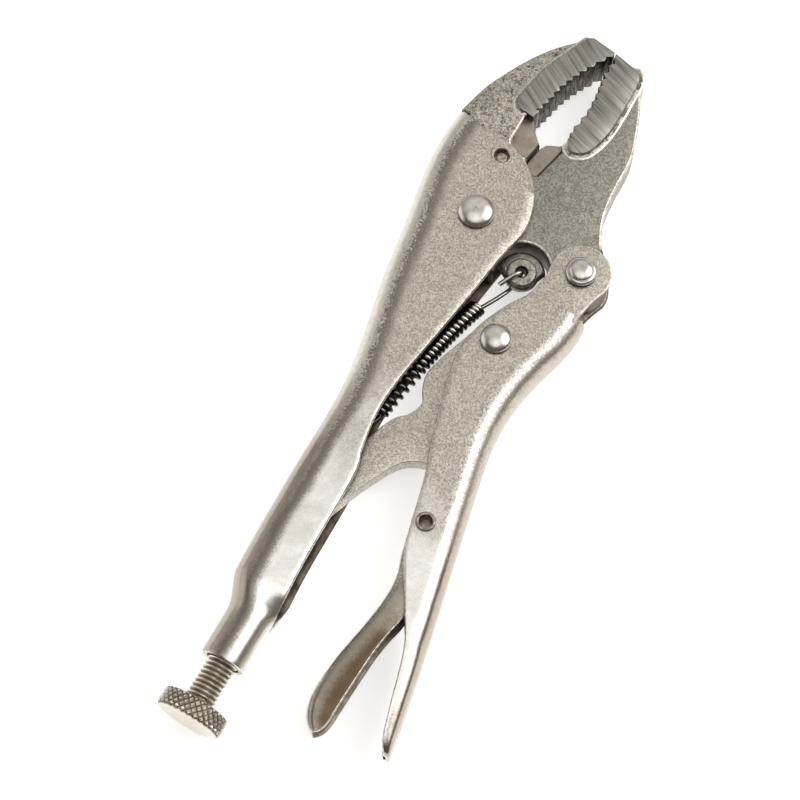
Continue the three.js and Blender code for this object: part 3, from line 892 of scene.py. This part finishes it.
def lower_handle():
    """The lower handle: a channel whose two sides run on in front of a crease as round ears."""
    lips = height_over(LOWER_LIPS)
    end = -165

    def section(x, shrink):
        tip = min(max((end + 4.5 - x) / 4.5, 0), 1)
        half = HANDLE_HALF - 1.3 * smooth_step(148, -end, -x) - 3.4 * (1 - math.sqrt(1 - tip * tip))
        return sheet_loop((x, lips(x)), (x, lower_back(x)), half, LOWER_CORNER, SHEET, shrink)

    stations = [mix(CREASE, end + 4.5, k / 84) for k in range(85)]
    stations += [end + 3, end + 2, end + 1.2, end + 0.6, end]
    tools = [drill(LEVER_PIVOT, LEVER_HOLE, HANDLE_HALF, 0.2)]
    shell = pressed("lower_handle_shell", section, stations, tools)
    finish("lower_handle_shell", shell, "handle", LOWER_FINISH, ["lower_handle"])
    ear = arc(HANDLE_PIVOT, EAR_RADIUS, -100, 100, 44)
    ear += through([(-8, -29.6), (-12, -28.9), (-16.4, -27.8), (-18.6, -26.5)], 4)
    ear += [(-18.6, -44.6)] + through([(-15.2, -45.4), (-11, -46.1), (-7, -47.3)], 4)
    middle = HANDLE_HALF - EAR_STEP - SHEET / 2
    for name, level in (("lower_handle_upper_ear", middle), ("lower_handle_under_ear", -middle)):
        profile = [(d, z + level) for d, z in rounded(SHEET / 2, 0.45)]
        plate = slab(name, ear, profile, marked=lambda x, y, z: 1 if abs(z) > middle + 0.3 else 2)
        finish(name, plate, "handle", (LINK_FINISH, EDGE, SHADED_INSIDE), ["lower_handle"])


def release_lever():
    """The release lever: a small channel inside the lower handle, with its tip drawn in."""
    back = height_over([
        (-74, -36.4), (-80, -35.2), (-88, -33), (-98, -32.3), (-108, -34.2), (-116, -36.6), (-124, -36.9),
        (-133, -35.8), (-147, -33.4), (-158, -32.7), (-164, -33.7), (-167.6, -35.8), (-169.3, -38.3),
    ])
    lips = height_over([
        (-74, -39.6), (-84, -40.2), (-98, -41.8), (-110, -43.6), (-120, -45), (-127, -45.2), (-133, -43.9),
        (-141, -42.8), (-158, -41.9), (-164, -41.7), (-167.6, -40.7), (-169.3, -39.0),
    ])
    end = -169.3

    def section(x, shrink):
        half = LEVER_HALF - 1.2 * smooth_step(160, -end, -x)
        return sheet_loop((x, lips(x)), (x, back(x)), half, LEVER_CORNER, LEVER_SHEET, shrink)

    stations = [mix(-74, -160, k / 60) for k in range(61)]
    stations += [-160 - 9.3 * math.sin(math.radians(a)) for a in range(8, 91, 8)] + [end]
    tools = [drill(LEVER_PIVOT, LEVER_HOLE, LEVER_HALF, 0.2)]
    shell = pressed("release_lever_shell", section, stations, tools)
    finish("release_lever_shell", shell, "lever", LEVER_FINISH, ["release_lever"])


# ---- jaws ----

FIXED_BITE = [(72.6, -11.3), (65.7, -7.4), (60, -4.6), (54, -2.4), (47.6, -1.1), (42.3, 0.3)]
MOVABLE_BITE = [(72, -11.9), (66, -11.6), (61, -12.3), (56, -13), (50, -13.2), (43, -12.2), (38.6, -12.6)]
TOOTH_RIM = rounded(TOOTH_HALF, 0.16, 2)


def below_rim(x, y, z):
    """The walls of a tooth block below its upper rim."""
    return z < 6


def forged(name, body, outline, profile, finishes, **shape):
    """One block of a jaw: the fixed jaw's on root and the movable jaw's on jaw."""
    node = {"root": "fixed_jaw", "jaw": "movable_jaw"}[body]
    finish(name, slab(name, outline, profile, **shape), body, finishes, [node])


def ledge(name, body, foot, width):
    """The raised ledge round a ground tooth block, with a painted highlight on its outer ridge."""
    low, high = BODY_HALF - 0.1, TOOTH_HALF - 0.1
    side = [(0, low), (0.7, low + LEDGE_RISE), (width - 0.4, low + LEDGE_RISE + 0.1), (width + 0.1, high)]
    outline = [(min(x, JAW_FRONT), y) for x, y in inset(counterclockwise(foot), -width)]
    forged(name, body, outline, both_ends(side), (FORGED_FIXED, BRIGHT_EDGE),
           marked=lambda x, y, z: abs(z - low) < 0.05 or abs(z + low + LEDGE_RISE) < 0.05)


def fixed_jaw():
    """The fixed jaw: forging with its tang, ground teeth, the ledge round them and half the cutter."""
    back = height_over([(76, -2.7), (74.6, -0.6), (69.3, 5.2), (63.7, 9.6), (56.8, 13.8), (49.4, 17.4),
                        (42.3, 20.2), (31.5, 22.8)])
    tang_top = [(x, handle_back(x) - SHEET - 1.6) for x in (31.9, 22, 14, 6)]
    rough = [(x, back(x)) for x in [75.5, 74.8, 74, 73, 71.5, 70] + [68 - 1.6 * k for k in range(23)]]
    rough += [(31.9, back(32))] + tang_top + arc(JAW_PIVOT, HUB_RADIUS + 0.4, 76, -17, 24)
    rough += [(26.2, -4.4), (27.4, 1.6), (29.7, 3.2), (38.7, 3.2), (42, 3.5), (56, 1), (70, -6), (74.4, -10)]
    forged("fixed_jaw_forging", "root", rough, rounded(BODY_HALF, 0.9), (FORGED_FIXED, EDGE, SHADED_INSIDE),
           marked=lambda x, y, z: z > 0 and 24 < x < 41 and y < 5)
    top = through([(74.9, -0.9), (72, 0.2), (64.8, 3.2), (56.5, 6.2), (49, 7.6), (44.2, 8.3)], 5)
    heel = arc((44.2, 4.6), 3.7, 97, 190, 10) + [(39.9, 0.8)]
    ground = [(75.9, -2.7)] + top + heel + tooth_row(FIXED_BITE, 1)[::-1] + [(74.3, -11.2)]
    forged("fixed_jaw_teeth", "root", ground, TOOTH_RIM, (GROUND_FIXED, FLANK), marked=below_rim)
    foot = [(75.4, -3.2)] + top + heel[:-3] + [(44, 2), (56, 1), (70, -5)]
    ledge("fixed_jaw_step", "root", foot, 1.5)
    cutter = [(20, 3.4), (20, -4.4), (26.2, -4.4), (33.4, -5.4), (36.7, -2.2), (40.2, 0.4), (44, 4), (30, 5)]
    forged("fixed_cutter", "root", cutter, rounded(CUTTER_HALF, 0.35), SHADED_BROWN_FIXED)


def movable_jaw():
    """The movable jaw: forging with its hub and ear, spring lobe and boss, teeth, ledge and cutter."""
    outer = through([(5.5, -44.2), (8.2, -41.6), (12, -38.9), (20, -35.8), (30, -34.4), (43, -33.8),
                     (56, -29.7), (64, -26.2), (69, -23.2), (71.7, -20.4)], 5)
    rough = outer + [(72.4, -15), (66, -16), (50, -17), (40, -16), (38.6, -14), (22.5, -10.4), (21, -5)]
    rough += arc(JAW_PIVOT, HUB_RADIUS, -20, 180, 40) + [(-14.4, -10)]
    rough += arc(SPRING_HOLE, POCKET_RADIUS, 126, -65, 30) + arc(HANDLE_PIVOT, JAW_EAR_RADIUS, 130, 322, 24)

    def mark(x, y, z):
        # The pocket's upper wall takes the edge colour with its painted highlight.
        if z > BODY_HALF - 0.7 and math.dist((x, y), SPRING_HOLE) < POCKET_RADIUS + 0.2:
            return 1
        # Walls near the hub, tucked into the lower handle, take the painted shade of the inside.
        return 2 if x < 9 else z > 0 and y < -17.5

    forged("movable_jaw_forging", "jaw", rough, rounded(BODY_HALF, 0.8), (FORGED_MOVABLE, EDGE, SHADED_INSIDE),
           marked=mark)
    hole = [(SPRING_HOLE, SPRING_HOLE_RADIUS)]
    lobe = arc(SPRING_HOLE, LOBE_RADIUS, 124, 276, 20) + arc(SPRING_HOLE, WEB_RADIUS, -62, 102, 24)
    forged("spring_lobe", "jaw", lobe, rounded(LOBE_HALF - 0.3, 1.3), FORGED_MOVABLE,
           holes=hole, hole_rim=0.3)
    forged("spring_boss", "jaw", circle(SPRING_HOLE, BOSS_RADIUS, 56), rounded(LOBE_HALF + 0.35, 0.8), BOSS,
           holes=hole, hole_rim=0.6)
    heel = through([(38.6, -12.6), (35.6, -14.6), (34.9, -16.6), (36.8, -20), (42, -22.2), (49, -23.3),
                    (60, -23.3), (69, -22.8), (71.9, -20.4)], 5)
    ground = heel + [(74.2, -11.7)] + tooth_row(MOVABLE_BITE, -1)[:-1]
    forged("movable_jaw_teeth", "jaw", ground, TOOTH_RIM, (GROUND_MOVABLE, FLANK), marked=below_rim)
    foot = heel[4:-1] + [(70.6, -18), (56, -17), (40, -15.5)]
    ledge("movable_jaw_step", "jaw", foot, 2.0)
    cutter = [(14, -4.9), (26, -4.9), (32.8, -6.1), (34.8, -7.2), (36.4, -10.8), (40, -15), (20, -13)]
    forged("movable_cutter", "jaw", cutter, rounded(CUTTER_HALF, 0.35), SHADED_BROWN_MOVABLE)


# ---- link ----

def toggle_link():
    """The toggle link: a plate from its eye in the lower handle to its foot at the screw's tip."""
    outline = arc(LINK_PIVOT, LINK_EYE_RADIUS, -90, 60, 20)
    outline += through([(-39, -16.6), (-47, -13.9), (-54, -12.5), (-59, -13.6), (-63.5, -16), (-68.5, -14.4),
                        (-73, -10.5), (-84, -6.4), (-98, -2.5)])
    outline += arc(LINK_FOOT, LINK_FOOT_RADIUS, 80, 280, 20)
    outline += through([(-104.5, -10.4), (-97.5, -13), (-91.4, -15.8), (-86.5, -18.3), (-83, -21.2),
                        (-80.8, -25)])
    outline += arc((-75.6, -26.4), LINK_HORN_RADIUS, 180, 270, 10) + [(-56, -32.4)]
    plate = slab("toggle_link_plate", outline, rounded(LINK_HALF, 0.35), [(LINK_PIVOT, LINK_EYE_HOLE)],
                 marked=lambda x, y, z: z > 0)
    finish("toggle_link_plate", plate, "link", (LINK_FINISH, EDGE), ["toggle_link"])


# ---- rivets and pins ----

def dome(radius, flat, base, top, steps=14):
    """A domed head's profile from its rim at base to a small flat at top."""
    turns = [math.pi / 2 * k / steps for k in range(steps + 1)]
    return [(flat + (radius - flat) * math.cos(a), base + (top - base) * math.sin(a)) for a in turns]


def rivet(name, body, node, upper, centre):
    """A rivet with the same head at both ends."""
    finish(name, turned(name, both_ends(upper), centre), body, RIVET, [node])


def rivets():
    """The three domed rivets: a punched main one, a stepped one and a plain one."""
    main = [(4.6, UNDER_HEAD), (MAIN_HEAD - 0.3, UNDER_HEAD), (MAIN_HEAD, UNDER_HEAD + 0.3)]
    main += dome(MAIN_HEAD, 0.5, UNDER_HEAD + 0.7, HEAD_TOP)
    main += [(0.4, HEAD_TOP - 0.08), (0.25, HEAD_TOP - 0.28), (0, HEAD_TOP - 0.32)]
    rivet("main_rivet_body", "root", "main_rivet", main, JAW_PIVOT)
    rim = [(4, UNDER_HEAD), (RIVET_HEAD - 0.2, UNDER_HEAD), (RIVET_HEAD, UNDER_HEAD + 0.25)]
    stepped = rim + [(RIVET_HEAD, UNDER_HEAD + 0.8), (RIVET_HEAD - 0.3, UNDER_HEAD + 1.2),
                     (4.3, UNDER_HEAD + 1.45), (3.95, UNDER_HEAD + 1.5)]
    stepped += dome(3.8, 0.1, UNDER_HEAD + 1.6, HEAD_TOP) + [(0, HEAD_TOP)]
    rivet("handle_rivet_body", "handle", "handle_rivet", stepped, HANDLE_PIVOT)
    plain = rim + dome(RIVET_HEAD, 0.1, UNDER_HEAD + 0.5, HEAD_TOP) + [(0, HEAD_TOP)]
    rivet("link_rivet_body", "handle", "link_rivet", plain, LINK_PIVOT)


def pins():
    """The plain pin of the fixed jaw's tang and the release lever's rolled tube."""
    end = size("jaw_tang_pin", 2) / 2 - 0.9
    upper = [(2, end - 0.35), (1.75, end - 0.1), (1.2, end), (0.5, end - 0.12), (0, end - 0.15)]
    mesh = turned("jaw_tang_pin_body", both_ends(upper), TANG_PIN, sides=40)
    finish("jaw_tang_pin_body", mesh, "root", PIN, ["jaw_tang_pin"])
    top, bore = LEVER_PIN_HALF, LEVER_BORE
    upper = [(bore + 0.65, UNDER_HEAD - 0.3), (LEVER_PIN_HEAD - 0.1, UNDER_HEAD),
             (LEVER_PIN_HEAD, UNDER_HEAD + 0.2), (LEVER_PIN_HEAD - 0.25, top - 0.05),
             (bore + 0.4, top), (bore + 0.1, top - 0.12), (bore, top - 0.5)]
    mesh = turned("lever_pin_tube", both_ends(upper) + [(bore, -top + 0.5)], LEVER_PIVOT, sides=48)
    finish("lever_pin_tube", mesh, "handle", PIN, ["lever_pin"])


# ---- spring ----

def wire_mesh(name, path, radius, sides=10):
    """A round wire along a path of points, closed at both ends."""
    rings = []
    up = Vector((0, 0, 1))
    for i, point in enumerate(path):
        ahead = Vector(path[min(i + 1, len(path) - 1)]) - Vector(path[max(i - 1, 0)])
        ahead.normalize()
        side = up - ahead * up.dot(ahead)
        if side.length < 0.05:
            side = Vector((1, 0, 0)) - ahead * ahead.x
        side.normalize()
        up = side
        other = ahead.cross(side)
        rings.append([tuple(Vector(point) + radius * (math.cos(a) * side + math.sin(a) * other))
                      for a in (2 * math.pi * k / sides for k in range(sides))])
    first, last = [path[0]] * sides, [path[-1]] * sides
    return turned_out(grid(name, [first] + rings + [last], wrap=True))


def tension_spring():
    """A coil from a hook through the jaw's lobe to a hook round the handle's tab."""
    wire, coil, turns = 0.74, 2.36, 24
    axis = through([(-25.6, -14.8), (-38, -11.4), (-52, -8.7), (-72, -5.5)], 12)

    def centre(share):
        place = share * (len(axis) - 1)
        i = min(int(place), len(axis) - 2)
        return Vector([mix(a, b, place - i) for a, b in zip(axis[i], axis[i + 1])] + [0])

    steps = turns * 20
    ahead = (centre(1) - centre(0)).normalized()
    across = Vector((-ahead.y, ahead.x, 0))
    hole = Vector((SPRING_HOLE[0] - 0.4, SPRING_HOLE[1], 0))
    under = -(LOBE_HALF + wire + 0.25)
    back = (Vector((*axis[0], 0)) - hole).normalized()
    side = Vector((-back.y, back.x, 0))
    hook = [
        hole + back * 8.2 - side * 0.9 + Vector((0, 0, -under - 0.2)),
        hole + back * 4.5 - side * 0.7 + Vector((0, 0, -under)),
        hole + back * 1.3 - side * 0.3 + Vector((0, 0, -under)),
        hole + Vector((0, 0, -under - 0.9)),
        hole,
        hole + Vector((0, 0, under + 0.9)),
        hole + back * 1.4 + side * 0.3 + Vector((0, 0, under)),
        hole + back * 8 + side * 0.6 + Vector((0, 0, under + 0.3)),
    ]
    coil_start = centre(0) + Vector((0, 0, -coil))
    path = through([tuple(p) for p in hook] + [tuple(coil_start - ahead * 0.2)], 6)[:-1]
    for k in range(steps + 1):
        angle = 2 * math.pi * turns * k / steps
        offset = across * math.sin(angle) * coil + Vector((0, 0, -math.cos(angle) * coil))
        path.append(tuple(centre(k / steps) + offset))
    rear_hook = [path[-1], (-73.6, -5.2, -1.6), (-75.5, -4.8, -0.6), (-78, -4.3, 0.0), (-79.4, -2.9, 0)]
    path += through(rear_hook, 5)[1:]
    mesh = wire_mesh("tension_spring_wire", path, wire)
    piece = finish("tension_spring_wire", mesh, None, WIRE, ["tension_spring"], 60)
    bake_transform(piece)


# ---- screw ----

def adjusting_screw():
    """A shank with a right-hand thread: the radius follows the turn and the place along the axis."""
    sides, per_pitch = 48, 10
    step = THREAD_PITCH / per_pitch
    count = int((SCREW_TIP - SCREW_REAR) / step)
    rings = []
    for i in range(count + 1):
        x = SCREW_REAR + (SCREW_TIP - SCREW_REAR) * i / count
        ease = smooth_step(0.3, 1.6, x - SCREW_REAR) * smooth_step(0, 1.5, SCREW_TIP - x)
        ring = []
        for k in range(sides):
            angle = 2 * math.pi * k / sides
            phase = (x / THREAD_PITCH - k / sides) % 1
            crest = min(1, max(0, (abs(phase - 0.5) * 2 - 0.1) / 0.78))
            radius = THREAD_RADIUS - THREAD_DEPTH * mix(1, crest, ease)
            ring.append((x, SCREW_AXIS + radius * math.cos(angle), radius * math.sin(angle)))
        rings.append(ring)
    ends = [[(r[0][0], SCREW_AXIS, 0)] * sides for r in (rings[0], rings[-1])]
    mesh = turned_out(grid("screw_shank", [ends[0]] + rings + [ends[1]], wrap=True))
    finish("screw_shank", mesh, "screw", SCREW, ["adjusting_screw"], 60)


def screw_knob():
    """A knob with a diamond knurl cut by two crossed sets of slanting grooves."""
    sides, levels, teeth, depth, bevel = 360, 26, 30, 0.85, 0.9
    rings = []
    face = KNOB_RADIUS - bevel
    for radius in (0.01, 2.5, 5, face * 0.9, face - 0.3):
        rings.append([(KNOB_REAR, radius)] * sides)
    for i in range(levels + 1):
        x = mix(KNOB_REAR + 0.15, KNOB_FRONT - 0.15, i / levels)
        inward = max(bevel - (x - KNOB_REAR), bevel - (KNOB_FRONT - x), 0)
        row = []
        for k in range(sides):
            share = k / sides * teeth
            slant = (x - KNOB_REAR) / (2 * math.pi * KNOB_RADIUS / teeth)
            first = abs((share + slant) % 1 - 0.5) * 2
            second = abs((share - slant) % 1 - 0.5) * 2
            groove = max(first, second) ** 1.4
            row.append((x, KNOB_RADIUS - inward * 0.85 - depth * groove * (1 - inward / bevel * 0.5)))
        rings.append(row)
    for radius in (face - 0.3, 7.5, THREAD_RADIUS + 1.2, THREAD_RADIUS + 0.3):
        rings.append([(KNOB_FRONT, radius)] * sides)
    rings.append([(KNOB_FRONT - 0.4, THREAD_RADIUS)] * sides)
    rings.append([(KNOB_FRONT - 0.4, 0.01)] * sides)
    placed = []
    for ring in rings:
        placed.append([
            (x, SCREW_AXIS + r * math.cos(2 * math.pi * k / sides), r * math.sin(2 * math.pi * k / sides))
            for k, (x, r) in enumerate(ring)])
    mesh = turned_out(grid("screw_knob_body", placed, wrap=True))
    finish("screw_knob_body", mesh, "knob", SCREW, ["screw_knob"], 30)


fixed_handle()
fixed_jaw()
movable_jaw()
lower_handle()
toggle_link()
release_lever()
rivets()
pins()
tension_spring()
adjusting_screw()
screw_knob()


# ---- floor, light and camera ----

def floor():
    """A pale light table."""
    across, drop = 3.2, 0.0002
    bpy.ops.mesh.primitive_grid_add(x_subdivisions=2, y_subdivisions=2, size=across, location=(0, 0, -drop))
    plane = bpy.context.active_object
    plane.name = "floor"
    shader = Shader("pale_floor")
    cloud = shader.noise(300, 2)
    colour = shader.blend((0.93, 0.93, 0.93, 1), (0.90, 0.90, 0.90, 1), cloud)
    values = {"Base Color": colour, "Roughness": 0.8, "Emission Color": colour, "Emission Strength": 0.62}
    shader.node_output(shader.node("ShaderNodeBsdfPrincipled", {}, values))
    plane.data.materials.append(shader.material)


TARGET = Vector((-65.0, -9.06, MIDDLE))
CAMERA_DISTANCE = 680.0
LENS = 98.73
FILM_WIDTH = 36
CAMERA_TILT = math.radians(22)
TOOL_LEAN = math.radians(29.5)
RIGHT = Vector((math.sin(TOOL_LEAN), -math.cos(TOOL_LEAN), 0))
AHEAD = Vector((math.cos(TOOL_LEAN), math.sin(TOOL_LEAN), 0))
UP = Vector((0, 0, 1))

DIM = 0.03              # the studio's level away from its lights
LIGHTS = [              # level, then the way to it (right, ahead, up), outer and inner angle
    (0.16, 0.25, 0.40, 1, 62, 15),
    (0.30, -0.04, -0.10, 1, 30, 6),
    (0.90, 0.80, 0.20, 0.80, 30, 14),
    (0.10, -0.2, 1, 0.5, 50, 15),
    (0.30, -1, 0.15, 0.22, 40, 22),
]


def camera():
    """A long lens looking down on the tool, tilted towards its rear."""
    toward = -AHEAD * math.sin(CAMERA_TILT) + UP * math.cos(CAMERA_TILT)
    data = bpy.data.cameras.new("camera")
    data.lens = LENS
    data.sensor_width = FILM_WIDTH
    data.clip_start = 0.01
    holder = bpy.data.objects.new("camera", data)
    bpy.context.scene.collection.objects.link(holder)
    top = AHEAD * math.cos(CAMERA_TILT) + UP * math.sin(CAMERA_TILT)
    place = (TARGET + toward * CAMERA_DISTANCE) * MM
    holder.matrix_world = Matrix.Translation(place) @ Matrix((RIGHT, top, toward)).transposed().to_4x4()
    bpy.context.scene.camera = holder


def surroundings():
    """A dim studio with soft lights overhead, one bright light high on the right and weaker ones
    beyond the jaws and low on the left."""
    world = bpy.data.worlds.new("studio")
    bpy.context.scene.world = world
    world.use_nodes = True
    shader = Shader("studio", world.node_tree)
    direction = shader.node("ShaderNodeTexCoord", {}, {}, "Generated")

    def facing(right, ahead, up, outer, inner):
        """1 within the inner angle of a direction and 0 outside the outer angle."""
        centre = (RIGHT * right + AHEAD * ahead + UP * up).normalized()
        settings = {"operation": "DOT_PRODUCT"}
        share = shader.node("ShaderNodeVectorMath", settings, {0: direction, 1: centre}, "Value")
        return share.step(math.cos(math.radians(outer)), math.cos(math.radians(inner)))

    level = DIM
    for brightness, *light in LIGHTS:
        level = level + brightness * facing(*light)
    colour = shader.blend((0.020, 0.015, 0.010, 1), (1.0, 0.99, 0.97, 1), level.clamp())
    surface = shader.node("ShaderNodeBackground", {}, {"Color": colour, "Strength": 3.0})
    shader.node_output(surface, "ShaderNodeOutputWorld")


floor()
camera()
surroundings()
bpy.context.scene.view_settings.view_transform = "Standard"
